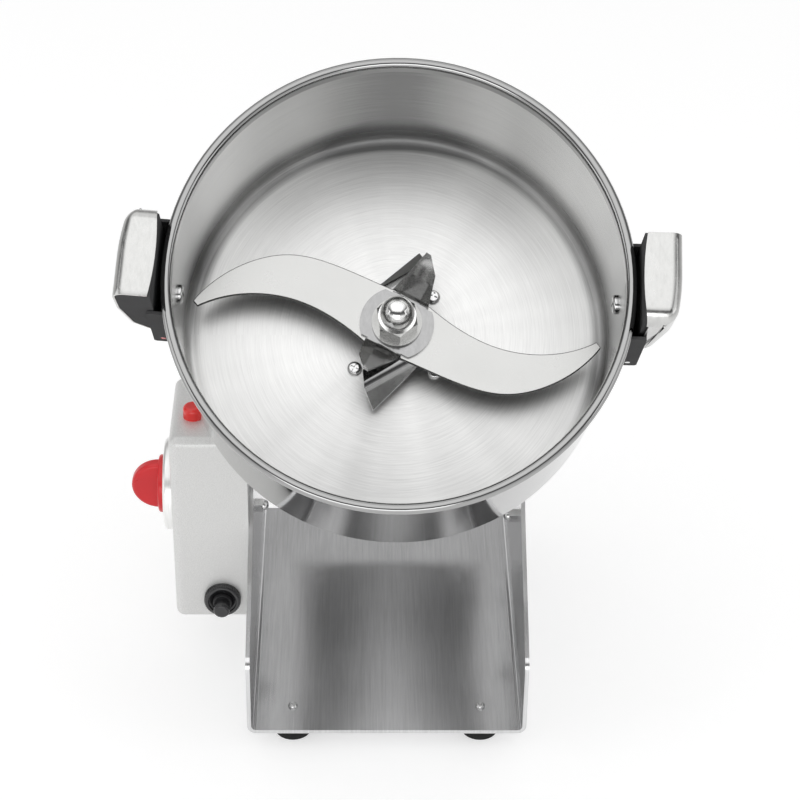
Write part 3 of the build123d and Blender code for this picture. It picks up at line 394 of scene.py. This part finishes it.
def makeWorld():
    # plain grey light, the room for what is mirrored, and white where the camera looks past
    world = bpy.data.worlds.new("studio")
    bpy.context.scene.world = world
    world.use_nodes = True
    tree = world.node_tree
    x, y, z = splitOf(tree, addNode(tree, "ShaderNodeTexCoord").outputs["Generated"])
    behind = spread(tree, y, 0.0, room["behind"], *room["behindRange"])
    aside = spread(tree, mathNode(tree, "ABSOLUTE", x), 1.0, room["aside"], *room["asideRange"])
    bands = mathNode(tree, "MAXIMUM", greyRamp(tree, z, room["bands"]), behind)
    rays = addNode(tree, "ShaderNodeLightPath").outputs
    lit = addNode(tree, "ShaderNodeMix", data_type="RGBA")
    lit.inputs["A"].default_value = (room["sky"],) * 3 + (1,)
    tree.links.new(mathNode(tree, "MAXIMUM", rays["Is Glossy Ray"], rays["Is Transmission Ray"]),
                   lit.inputs["Factor"])
    tree.links.new(mathNode(tree, "MULTIPLY", bands, aside), lit.inputs["B"])
    shown = addNode(tree, "ShaderNodeMix", data_type="RGBA")
    shown.inputs["B"].default_value = (1, 1, 1, 1)
    tree.links.new(rays["Is Camera Ray"], shown.inputs["Factor"])
    tree.links.new(lit.outputs["Result"], shown.inputs["A"])
    tree.links.new(shown.outputs["Result"], tree.nodes["Background"].inputs["Color"])


ground = dict(half=6.0, colour=0.74, mottle=6.0, mottled=0.99, roughness=0.9, glow=0.46, aside=0.2,
              asideRange=(0.3, 1.2))


def makeFloor():
    level, half = ground["colour"], ground["half"]
    material, tree, shader = newFinish("paleFloor", (level,) * 3, 0.0, ground["roughness"])
    point = objectPoint(tree)
    shade(tree, shader, noiseOf(tree, point, ground["mottle"]), (level * ground["mottled"],) * 3,
          (level,) * 3)
    shader.inputs["Specular IOR Level"].default_value = 0.0
    shader.inputs["Emission Color"].default_value = (1, 1, 1, 1)
    # far to the sides the floor is mirrored darker than it is seen
    x, y, z = splitOf(tree, point)
    aside = spread(tree, mathNode(tree, "ABSOLUTE", x), 1.0, ground["aside"], *ground["asideRange"])
    rays = addNode(tree, "ShaderNodeLightPath").outputs
    mirrored = mathNode(tree, "MULTIPLY", rays["Is Glossy Ray"], aside)
    seen = mathNode(tree, "MAXIMUM", rays["Is Camera Ray"], rays["Is Transmission Ray"])
    glow = mathNode(tree, "MULTIPLY", mathNode(tree, "MAXIMUM", seen, mirrored), ground["glow"])
    tree.links.new(glow, shader.inputs["Emission Strength"])
    floor = meshPiece("floor", [(-half, -half, 0), (half, -half, 0), (half, half, 0), (-half, half, 0)],
                      [(0, 1, 2, 3)], Matrix.Identity(4), [material], smooth=False)


bpy.context.scene.view_settings.view_transform = "Standard"
makeCamera()
makeLamps()
makeWorld()
makeFloor()
print("camera, lamps and floor ready")


# bowl steel: brushed round inside, bright outside and on the curled rim

# the angle list gives the wall's painted reflection: how much darker the wall is painted at each angle
bowl = dict(insideRadius=119.4, rimStart=168.0, floorTop=68.4, bend=6.0, bendFrom=109.5, wallFrom=114.0,
            dark=(0.27, 0.27, 0.27), light=(0.96, 0.96, 0.95), outerLevel=0.16, sweep=0.002, grain=1500.0,
            sheenSectors=2.2, grainShare=0.55, levels=(0.62, 1.0), paintedShadeDim=0.60, paintedShadeHeight=30.0, paintedShadeUpwards=0.8,
            paintedFloorShadeDim=0.34, paintedFloorShadeRange=(-0.09, -0.01), floorRough=(0.37, 0.40), wallSmoother=0.17,
            foldRougher=0.30, outsideRough=(0.05, 0.10), waves=30.0,
            fan=((-180, 0.25), (-170, 0.0), (-150, 0.05), (-125, 0.05), (-90, 0.25), (-50, 0.05),
                 (-30, 0.20), (-12, 0.66), (12, 0.30), (45, 0.0), (60, 0.05), (90, 0.80), (120, 0.05),
                 (138, 0.0), (166, 0.50), (180, 0.25)))


def makeBowlSteel():
    material, tree, shader = newFinish("bowlSteel", bowl["light"], 1.0, 0.2)
    radius, angle, height = polar(tree, objectPoint(tree, restPlace))
    along = mathNode(tree, "MULTIPLY", angle, bowl["sweep"])
    lines = noiseOf(tree, combined(tree, radius, along, height), bowl["grain"], 4.0, 0.7)
    upwards = mathNode(tree, "SINE", angle)
    # painted sheen: soft lighter and darker sectors by angle, at random places, stand in for the brushed
    # steel's highlight fans and are blended with the grain
    sheenSectors = noiseOf(tree, combined(tree, mathNode(tree, "COSINE", angle), upwards, 0.0),
                      bowl["sheenSectors"], 2.0)
    inner = mathNode(tree, "MULTIPLY", mathNode(tree, "LESS_THAN", radius, bowl["insideRadius"] * mm),
                     mathNode(tree, "LESS_THAN", height, bowl["rimStart"] * mm))
    level = spread(tree, blend(tree, lines, sheenSectors, bowl["grainShare"]), *bowl["levels"])
    # painted reflection and painted shade: the wall is painted darker in set sectors by angle, and close
    # above the floor
    wall = spread(tree, radius, 0.0, 1.0, bowl["bendFrom"] * mm, bowl["wallFrom"] * mm)
    # painted reflection: the wall's colour is darkened by angle in soft sectors
    fan = greyRamp(tree, spread(tree, angle, 0.0, 1.0, -math.pi, math.pi),
                   [((turn + 180) / 360, paintedDarkening) for turn, paintedDarkening in bowl["fan"]], "EASE")
    # painted shade: the wall is painted darker just above the floor, more so towards the back of the bowl
    low = spread(tree, height, bowl["paintedShadeDim"], 0.0, bowl["floorTop"] * mm,
                 (bowl["floorTop"] + bowl["paintedShadeHeight"]) * mm)
    low = mathNode(tree, "MULTIPLY", low, spread(tree, upwards, 0.0, 1.0, 0.0, bowl["paintedShadeUpwards"]))
    paintedDarkening = mathNode(tree, "MULTIPLY", wall, mathNode(tree, "ADD", low, fan))
    # painted shade: the lower half of the floor is painted a little darker
    across = mathNode(tree, "MULTIPLY", radius, upwards)
    paintedFloorShade = mathNode(tree, "MULTIPLY", spread(tree, across, bowl["paintedFloorShadeDim"], 0.0, *bowl["paintedFloorShadeRange"]),
                    mathNode(tree, "SUBTRACT", 1.0, wall))
    level = mathNode(tree, "SUBTRACT", level, mathNode(tree, "ADD", paintedDarkening, paintedFloorShade), clamp=True)
    outer = mathNode(tree, "MULTIPLY", mathNode(tree, "SUBTRACT", 1.0, inner), bowl["outerLevel"])
    level = mathNode(tree, "ADD", mathNode(tree, "MULTIPLY", level, inner), outer)
    shade(tree, shader, level, bowl["dark"], bowl["light"])
    # inside it is smoother up the wall and rougher in the fold above the floor
    brushed = mathNode(tree, "SUBTRACT", spread(tree, lines, *bowl["floorRough"]),
                       mathNode(tree, "MULTIPLY", wall, bowl["wallSmoother"]))
    fold = spread(tree, height, bowl["foldRougher"], 0.0, (bowl["floorTop"] + bowl["bend"]) * mm,
                  (bowl["floorTop"] + 2 * bowl["bend"]) * mm)
    brushed = mathNode(tree, "ADD", brushed, mathNode(tree, "MULTIPLY", wall, fold))
    waves = noiseOf(tree, objectPoint(tree), bowl["waves"], 2.0)
    mix = addNode(tree, "ShaderNodeMix", data_type="FLOAT")
    tree.links.new(inner, mix.inputs["Factor"])
    tree.links.new(spread(tree, waves, *bowl["outsideRough"]), mix.inputs["A"])
    tree.links.new(brushed, mix.inputs["B"])
    tree.links.new(mix.outputs["Result"], shader.inputs["Roughness"])
    bump(tree, shader, mathNode(tree, "MULTIPLY", lines, inner), 0.05, 0.0001)
    return material


bladeLook = dict(colour=(0.60, 0.60, 0.59), cut=(0.10, 0.10, 0.10), roughness=0.25, smoother=0.03,
                 rougher=0.04, axis=(0.0, -0.671, 0.742), cutToFlat=(0.80, 0.97), grain=3000.0,
                 marks=40.0, grainShare=0.4, grainLevels=(0.86, 1.0))


def makeBladeSteel():
    # satin faces, and painted shade on the edge faces all round
    material, tree, shader = newFinish("bladeSteel", bladeLook["colour"], 1.0, bladeLook["roughness"])
    point = objectPoint(tree)
    fine = noiseOf(tree, point, bladeLook["grain"], 2.0)
    marks = noiseOf(tree, point, bladeLook["marks"], 4.0)
    # painted shade: faces turned away from the blade's axis take the dark edge colour
    across = addNode(tree, "ShaderNodeVectorMath", operation="DOT_PRODUCT")
    tree.links.new(addNode(tree, "ShaderNodeTexCoord").outputs["Normal"], across.inputs[0])
    across.inputs[1].default_value = bladeLook["axis"]
    flat = spread(tree, across.outputs["Value"], 0.0, 1.0, *bladeLook["cutToFlat"])
    grain = spread(tree, blend(tree, fine, marks, bladeLook["grainShare"]), *bladeLook["grainLevels"])
    shade(tree, shader, mathNode(tree, "MULTIPLY", flat, grain), bladeLook["cut"], bladeLook["colour"])
    tree.links.new(spread(tree, marks, bladeLook["roughness"] - bladeLook["smoother"],
                          bladeLook["roughness"] + bladeLook["rougher"]), shader.inputs["Roughness"])
    bump(tree, shader, fine, 0.02, 0.0001)
    return material


finishes = dict(
    stand_frame=brushedSteel("standSteel", (0.68, 0.68, 0.685), 0.19, (1100.0, 30.0, 30.0), wear=0.02,
                             depth=0.03),
    housing=brushedSteel("housingSteel", (0.97, 0.97, 0.97), 0.55, (1200.0, 60.0, 60.0), wear=0.03,
                         depth=0.06),
    bowl=makeBowlSteel(),
    boss=turnedSteel("bossSteel", (0.58, 0.58, 0.58), 0.28),
    bright=polishedSteel("fastenerSteel", (0.70, 0.70, 0.70), 0.14),
    nut=polishedSteel("nutSteel", (0.92, 0.92, 0.91), 0.09, scuff=90.0, depth=0.10),
    washer=turnedSteel("washerSteel", (0.47, 0.47, 0.46), 0.24, grain=1400.0),
    blade=makeBladeSteel(),
    mirror=polishedSteel("crossBladeSteel", (0.38, 0.38, 0.38), 0.11, scuff=45.0, depth=0.1),
    shaft=turnedSteel("shaftSteel", (0.6, 0.6, 0.6), 0.22),
    lever=polishedSteel("leverSteel", (0.60, 0.60, 0.59), 0.22, scuff=50.0, depth=0.18, wear=0.08),
    plastic=moulded("blackPlastic", (0.026, 0.026, 0.027), 0.42, grain=1500.0, depth=0.2),
    latchPlastic=moulded("latchPlastic", (0.055, 0.055, 0.056), 0.75, grain=1500.0, depth=0.2,
                         specular=0.12),
    gloss=moulded("blackGloss", (0.012, 0.012, 0.013), 0.22, grain=700.0, depth=0.05, coat=0.4),
    rubber=moulded("rubber", (0.008, 0.008, 0.008), 0.82, grain=800.0, depth=0.3),
    paint=speckledPaint("boxPaint", (0.75, 0.75, 0.74), (0.66, 0.66, 0.65), (0.84, 0.84, 0.83)),
    plate=brushedSteel("escutcheonSteel", (0.90, 0.90, 0.89), 0.35, (1200.0, 60.0, 60.0)),
    knob=moulded("redKnob", (0.66, 0.012, 0.018), 0.30, grain=500.0, depth=0.03, coat=0.15, lighter=1.1),
    lens=moulded("redLens", (0.70, 0.025, 0.022), 0.15, depth=0.05, coat=0.3, lighter=1.2),
    bronze=turnedSteel("bronze", (0.55, 0.36, 0.16), 0.35),
    castAlloy=moulded("castAlloy", (0.45, 0.45, 0.46), 0.5, grain=600.0, depth=0.3, metallic=0.9),
    sheets=brushedSteel("laminations", (0.16, 0.16, 0.17), 0.5, (30.0, 30.0, 2500.0), place=restPlace),
    copper=brushedSteel("windings", (0.62, 0.24, 0.10), 0.35, (2500.0, 60.0, 60.0), place=restPlace),
    carbon=moulded("carbon", (0.02, 0.02, 0.021), 0.6, grain=1200.0, depth=0.3))

wears = dict(
    stand_frame=["stand_frame"], housing=["motor_housing", "housing_cover"], bowl=["bowl", "bowl_floor"],
    boss=["trunnion_bosses", "bearing_flange", "lower_bracket"],
    bright=["foot_screws", "side_bolts", "side_nuts", "control_box_screws",
            "pivot_bolts", "cover_screws", "floor_screws", "through_bolts", "latch_wall_screws",
            "latch_pins", "latch_springs"],
    nut=["blade_nut"], washer=["blade_washer"], blade=["long_blade", "blade_spacer"],
    mirror=["upper_cross_blade", "lower_cross_blade"],
    shaft=["motor_shaft", "upper_bearing", "lower_bearing"],
    lever=["latch_cover_left", "latch_cover_right"],
    plastic=["timer_switch", "lamp_body", "breaker_body", "cable_gland", "brush_holders"],
    latchPlastic=["latch_core_left", "latch_core_right", "latch_bracket_left", "latch_bracket_right"],
    gloss=["breaker_nut", "breaker_plunger"],
    rubber=["foot_front_left", "foot_front_right", "foot_rear_left", "foot_rear_right",
            "housing_grommet", "shaft_seal"],
    paint=["control_box_shell", "control_box_back"], plate=["timer_escutcheon"],
    knob=["timer_knob"], lens=["lamp_lens"], bronze=["pivot_bushes"], castAlloy=["cooling_fan"],
    sheets=["stator_core", "armature_core"],
    copper=["field_coils", "armature_windings", "commutator"], carbon=["carbon_brushes"])
for finish, names in wears.items():
    for name in names:
        for place in nodes[name].material_slots:
            place.material = finishes[finish]

print("CAD nodes finished")


# long blade: its cut edges broken all round

bladeEdge = dict(width=0.45, merge=0.001, flatWithin=0.5)


def makeLongBlade():
    blade = mergedCopy("long_blade", "longBlade", bladeEdge["merge"], bladeEdge["flatWithin"])
    breakEdges(blade, bladeEdge["width"], 1)
    bakeModifiers(blade)
    giveFinish(blade, "blade")
    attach(blade, "rotor")
    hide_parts("long_blade")


makeLongBlade()
print("long blade made")


# latch covers: tapered folded skins, rounded over to the closed side

latch = dict(turns=dict(right=-1.3, left=175.5), inner=127.3, rim=173.0, half=24.5, sheet=1.2, bend=8.5,
             narrow=0.82, leanFrom=4.0, bulge=2.0, bulgeReach=14.0, topFrom=6.0, outerFrom=5.0,
             backLine=0.6, backDrop=5.0, edge=0.3, play=0.12, merge=0.0001, deepest=5.5,
             roomBack=-14.0, roomLow=-70.0, flatRows=12, overRows=8, cornerSteps=7,
             path=((-0.6, 18.0), (20.0, 18.0), (19.2, -8.0), (13.6, -34.0), (3.7, -45.0), (1.9, -58.5)),
             rounds=(6.4, 9.0, 7.0, 6.5))


def insetRun(path, depth):
    moved = []
    for n, point in enumerate(path):
        before, after = path[max(0, n - 1)], path[min(len(path) - 1, n + 1)]
        along = (after - before).normalized()
        moved.append(point + Vector((along.y, -along.x)) * depth)
    return moved


def latchRows(inset):
    # places across the latch, rounded over at the closed side, each with its depth
    half, bend, flat, over = (latch[k] for k in ("half", "bend", "flatRows", "overRows"))
    rows = [(half - n * (2 * half - bend) / flat, inset) for n in range(flat + 1)]
    return rows + [(-half + bend - (bend - inset) * math.sin(a), bend - (bend - inset) * math.cos(a))
                   for a in (math.radians(90 * n / over) for n in range(1, over + 1))]


def latchPlaced(point, y):
    # the outside leans in towards the closed side, and the inner edge bows to the bowl
    half, leanFrom = latch["half"], latch["leanFrom"]
    lean = max(0.0, min(1.0, (leanFrom - y) / (half + leanFrom)))
    reach = 1.0 - (1.0 - latch["narrow"]) * lean * lean if point.x > 0 else 1.0
    bow = latch["bulge"] * (y / half) ** 2 * max(0.0, 1.0 - abs(point.x) / latch["bulgeReach"])
    bow *= point.y > latch["topFrom"]
    return latch["inner"] + point.x * reach + bow, y, latch["rim"] + point.y


def latchPlace(side):
    return restPlace @ Matrix.Rotation(math.radians(latch["turns"][side]), 4, "Z")


def makeLatchCore(side):
    # the moulded lever is trimmed to the room inside the skin
    path = roundPath(latch["path"], latch["rounds"], latch["cornerSteps"])
    back, low = latch["roomBack"], latch["roomLow"]
    verts, count = [], len(path) + 3
    for y, depth in latchRows(latch["sheet"] + latch["play"]):
        if depth > latch["deepest"]:
            continue
        run = insetRun(path, depth)
        run += [Vector((run[-1].x, low)), Vector((back, low)), Vector((back, run[0].y))]
        verts += [latchPlaced(point, y) for point in run]
    rows = len(verts) // count
    faces = [(r * count + p, r * count + (p + 1) % count, (r + 1) * count + (p + 1) % count,
              (r + 1) * count + p) for r in range(rows - 1) for p in range(count)]
    faces += [tuple(range(count)), tuple((rows - 1) * count + p for p in range(count))]
    inside = outward(meshPiece(f"latchRoom_{side}", verts, faces, latchPlace(side), []))
    core = mergedCopy(f"latch_core_{side}", f"latchBody_{side}", latch["merge"])
    trim = core.modifiers.new("trim", "BOOLEAN")
    trim.operation, trim.object, trim.solver = "INTERSECT", inside, "EXACT"
    bakeModifiers(core)
    bpy.data.objects.remove(inside)
    giveFinish(core, "latchPlastic")
    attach(core, f"lever_{side}")
    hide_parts(f"latch_core_{side}")


def makeLatchCover(side):
    path = roundPath(latch["path"], latch["rounds"], latch["cornerSteps"])
    half, rows, count = latch["half"], latchRows(0.0), len(path)
    verts = [latchPlaced(point, y) for y, depth in rows for point in insetRun(path, depth)]
    faces = [(r * count + p, r * count + p + 1, (r + 1) * count + p + 1, (r + 1) * count + p)
             for r in range(len(rows) - 1) for p in range(count - 1)]
    # the closed side's end plate
    last = (len(rows) - 1) * count
    edge = [p for p in range(count) if path[p].x > latch["outerFrom"] or path[p].y > latch["topFrom"]]
    backLow = Vector((latch["backLine"], path[edge[-1]].y - latch["backDrop"]))
    backHigh = Vector((latch["backLine"], path[0].y - latch["bend"]))
    verts += [latchPlaced(backLow, -half), latchPlaced(backHigh, -half)]
    faces.append([last + p for p in edge] + [len(verts) - 2, len(verts) - 1])
    piece = outward(meshPiece(f"latchSkin_{side}", verts, faces, latchPlace(side), [finishes["lever"]]))
    thick = piece.modifiers.new("sheet", "SOLIDIFY")
    thick.thickness, thick.offset = latch["sheet"] * mm, -1.0
    breakEdges(piece, latch["edge"], 2)
    bakeModifiers(piece)
    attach(piece, f"lever_{side}")
    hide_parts(f"latch_cover_{side}")


for side in ("left", "right"):
    makeLatchCover(side)
    makeLatchCore(side)
print("latches made")


# geometry node trees

def newTree(name, inputs):
    tree = bpy.data.node_groups.new(name, "GeometryNodeTree")
    sockets = {}
    for label, kind in inputs:
        sockets[label] = tree.interface.new_socket(label, in_out="INPUT", socket_type=kind).identifier
    tree.interface.new_socket("Geometry", in_out="OUTPUT", socket_type="NodeSocketGeometry")
    return tree, tree.nodes.new("NodeGroupInput"), sockets


def sizedNode(tree, kind, inputs):
    # a node whose inputs, by name, are numbers or the outputs of others
    node = tree.nodes.new(kind)
    for label, value in inputs.items():
        if isinstance(value, bpy.types.NodeSocket):
            tree.links.new(value, node.inputs[label])
        else:
            node.inputs[label].default_value = value
    return node.outputs[0]


def closeTree(tree, geometry, material):
    realize = tree.nodes.new("GeometryNodeRealizeInstances")
    dress = tree.nodes.new("GeometryNodeSetMaterial")
    dress.inputs["Material"].default_value = material
    end = tree.nodes.new("NodeGroupOutput")
    tree.links.new(geometry, realize.inputs[0])
    tree.links.new(realize.outputs[0], dress.inputs["Geometry"])
    tree.links.new(dress.outputs[0], end.inputs[0])


def runTree(name, tree, sockets, values, place):
    holder = bpy.data.objects.new(name, bpy.data.meshes.new(name))
    bpy.context.scene.collection.objects.link(holder)
    modifier = holder.modifiers.new("shape", "NODES")
    modifier.node_group = tree
    for label, value in values.items():
        modifier[sockets[label]] = value
    bakeModifiers(holder)
    holder.data.transform(place)
    return holder


def joined(name, pieces):
    work = bmesh.new()
    for piece in pieces:
        work.from_mesh(piece.data)
    mesh = bpy.data.meshes.new(name)
    for material in pieces[0].data.materials:
        mesh.materials.append(material)
    work.to_mesh(mesh)
    work.free()
    for piece in pieces:
        bpy.data.objects.remove(piece)
    whole = bpy.data.objects.new(name, mesh)
    bpy.context.scene.collection.objects.link(whole)
    return whole


# torsion springs on the latch pins

spring = dict(pin=(125.6, 119.0), radius=1.85, wire=0.26, width=29.8, turns=26.0, leg=9.5,
              stepsPerTurn=20, wireSides=8)


def springTree():
    tree, given, sockets = newTree("torsionSpring", (
        ("Coil Radius", "NodeSocketFloat"), ("Wire Radius", "NodeSocketFloat"),
        ("Width", "NodeSocketFloat"), ("Turns", "NodeSocketFloat"), ("Leg", "NodeSocketFloat")))
    size = given.outputs
    coil = sizedNode(tree, "GeometryNodeCurveSpiral", {
        "Resolution": spring["stepsPerTurn"], "Start Radius": size["Coil Radius"],
        "End Radius": size["Coil Radius"], "Rotations": size["Turns"], "Height": size["Width"]})
    foot = sizedNode(tree, "ShaderNodeCombineXYZ", {"X": size["Coil Radius"]})
    head = sizedNode(tree, "ShaderNodeCombineXYZ", {"X": size["Coil Radius"], "Y": size["Leg"]})
    leg = sizedNode(tree, "GeometryNodeCurvePrimitiveLine", {"Start": foot, "End": head})
    both = tree.nodes.new("GeometryNodeJoinGeometry")
    tree.links.new(coil, both.inputs[0])
    tree.links.new(leg, both.inputs[0])
    ring = sizedNode(tree, "GeometryNodeCurvePrimitiveCircle", {
        "Resolution": spring["wireSides"], "Radius": size["Wire Radius"]})
    wire = sizedNode(tree, "GeometryNodeCurveToMesh", {
        "Curve": both.outputs[0], "Profile Curve": ring, "Fill Caps": True})
    closeTree(tree, wire, finishes["bright"])
    return tree, sockets


def makeSprings():
    tree, sockets = springTree()
    values = {"Coil Radius": spring["radius"], "Wire Radius": spring["wire"], "Width": spring["width"],
              "Turns": spring["turns"], "Leg": spring["leg"]}
    pieces = []
    for side in latch["turns"]:
        place = (latchPlace(side)
                 @ Matrix.Translation((spring["pin"][0], spring["width"] / 2, spring["pin"][1]))
                 @ Matrix.Rotation(math.radians(90), 4, "X"))
        pieces.append(runTree(f"spring_{side}", tree, sockets, values, place))
    springs = joined("torsionSprings", pieces)
    springs.data.polygons.foreach_set("use_smooth", [True] * len(springs.data.polygons))
    outward(springs)
    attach(springs, "swing_unit")
    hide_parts("latch_springs")


makeSprings()
print("springs made")


# reset nut with a fine knurl round it

resetNut = dict(radius=11.1, thick=5.0, dish=8.4, dishDeep=1.2, bore=5.65, rounding=0.9, lip=0.4,
                dishBevel=0.3, sides=96, ridges=48, ridge=0.42, ridgeSides=8, ridgeShorter=1.6,
                ridgeShift=0.3)


def knurlTree():
    tree, given, sockets = newTree("knurl", (("Radius", "NodeSocketFloat"), ("Count", "NodeSocketInt"),
                                             ("Ridge", "NodeSocketFloat"), ("Length", "NodeSocketFloat")))
    size = given.outputs
    circle = sizedNode(tree, "GeometryNodeMeshCircle", {"Vertices": size["Count"], "Radius": size["Radius"]})
    ridge = sizedNode(tree, "GeometryNodeMeshCylinder", {
        "Vertices": resetNut["ridgeSides"], "Radius": size["Ridge"], "Depth": size["Length"]})
    ridges = sizedNode(tree, "GeometryNodeInstanceOnPoints", {"Points": circle, "Instance": ridge})
    closeTree(tree, ridges, finishes["gloss"])
    return tree, sockets


def makeResetNut():
    low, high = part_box("breaker_nut")
    place = (Matrix.Translation(((low[0] + high[0]) / 2, low[1], (low[2] + high[2]) / 2))
             @ Matrix.Rotation(math.radians(-90), 4, "X") @ Matrix.Scale(mm, 4))
    thick, dish, deep, bore = (resetNut[k] for k in ("thick", "dish", "dishDeep", "bore"))
    rounding, lip, bevel = (resetNut[k] for k in ("rounding", "lip", "dishBevel"))
    outside = resetNut["radius"] - resetNut["ridge"]
    profile = [(bore, thick), (outside, thick),
               *arcPoints((outside - rounding, rounding), rounding, 0, -90, 4),
               *arcPoints((dish + lip, lip), lip, -90, -180, 3), (dish, deep - bevel),
               (dish - bevel, deep), (bore, deep)]
    body = lathe("nutBody", profile, place, [finishes["gloss"]], resetNut["sides"])
    tree, sockets = knurlTree()
    values = {"Radius": outside, "Count": resetNut["ridges"], "Ridge": resetNut["ridge"],
              "Length": thick - resetNut["ridgeShorter"]}
    middle = Matrix.Translation((0, 0, thick / 2 + resetNut["ridgeShift"]))
    knurl = runTree("knurl", tree, sockets, values, place @ middle)
    nut = joined("resetNut", [body, knurl])
    outward(nut)
    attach(nut, "stand")
    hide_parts("breaker_nut")


makeResetNut()
print("reset nut made")
